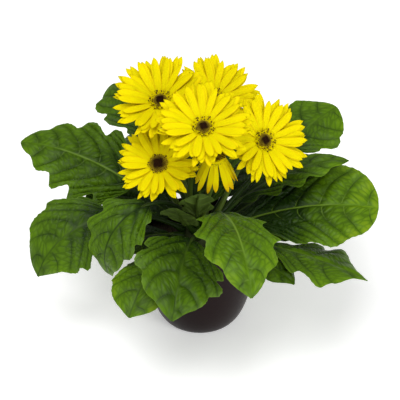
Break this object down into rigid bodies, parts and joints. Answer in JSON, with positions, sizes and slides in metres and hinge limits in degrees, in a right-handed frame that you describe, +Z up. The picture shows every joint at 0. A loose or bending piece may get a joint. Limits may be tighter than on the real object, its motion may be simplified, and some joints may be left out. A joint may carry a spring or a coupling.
{
  "type": "potted gerbera daisy",
  "caption": "A yellow gerbera daisy growing in a round dark plastic pot, with a low rosette of lobed leaves and blooms on short stems above it.",
  "frame": {"origin": "Centre of the pot's flat underside, where it stands on a surface.", "axes": "+Z up, -Y the front that the blooms look towards, +X to the right seen from the front."},
  "size_m": [0.3469, 0.351, 0.2668],
  "materials": {
    "pot": "satin",
    "soil": "matte",
    "crown": "matte",
    "leaf": "satin",
    "stem": "satin",
    "ray": "satin",
    "eye": "matte"
  },
  "bodies": {
    "root": {"bloom_back_bracts": "stem", "bloom_back_eye": "eye", "bloom_back_rays": "ray", "bloom_back_stem": "stem", "bloom_front_bracts": "stem", "bloom_front_eye": "eye", "bloom_front_rays": "ray", "bloom_front_stem": "stem", "bloom_left_high_bracts": "stem", "bloom_left_high_eye": "eye", "bloom_left_high_rays": "ray", "bloom_left_high_stem": "stem", "bloom_left_low_bracts": "stem", "bloom_left_low_eye": "eye", "bloom_left_low_rays": "ray", "bloom_left_low_stem": "stem", "bloom_low_bracts": "stem", "bloom_low_eye": "eye", "bloom_low_rays": "ray", "bloom_low_stem": "stem", "bloom_right_bracts": "stem", "bloom_right_eye": "eye", "bloom_right_rays": "ray", "bloom_right_stem": "stem", "crown": "crown", "leaf_back": "leaf", "leaf_back_left": "leaf", "leaf_back_low_left": "leaf", "leaf_back_low_right": "leaf", "leaf_back_right": "leaf", "leaf_front": "leaf", "leaf_front_left": "leaf", "leaf_front_left_low": "leaf", "leaf_front_right": "leaf", "leaf_inner_left": "leaf", "leaf_inner_right": "leaf", "leaf_left_hidden": "leaf", "leaf_left_long": "leaf", "leaf_left_low": "leaf", "leaf_right_back_low": "leaf", "leaf_right_behind": "leaf", "leaf_right_inner": "leaf", "leaf_right_low": "leaf", "leaf_right_under": "leaf", "leaf_right_wide": "leaf", "leaf_young": "leaf", "pot": "pot", "root_ball": "soil"}
  },
  "joints": []
}
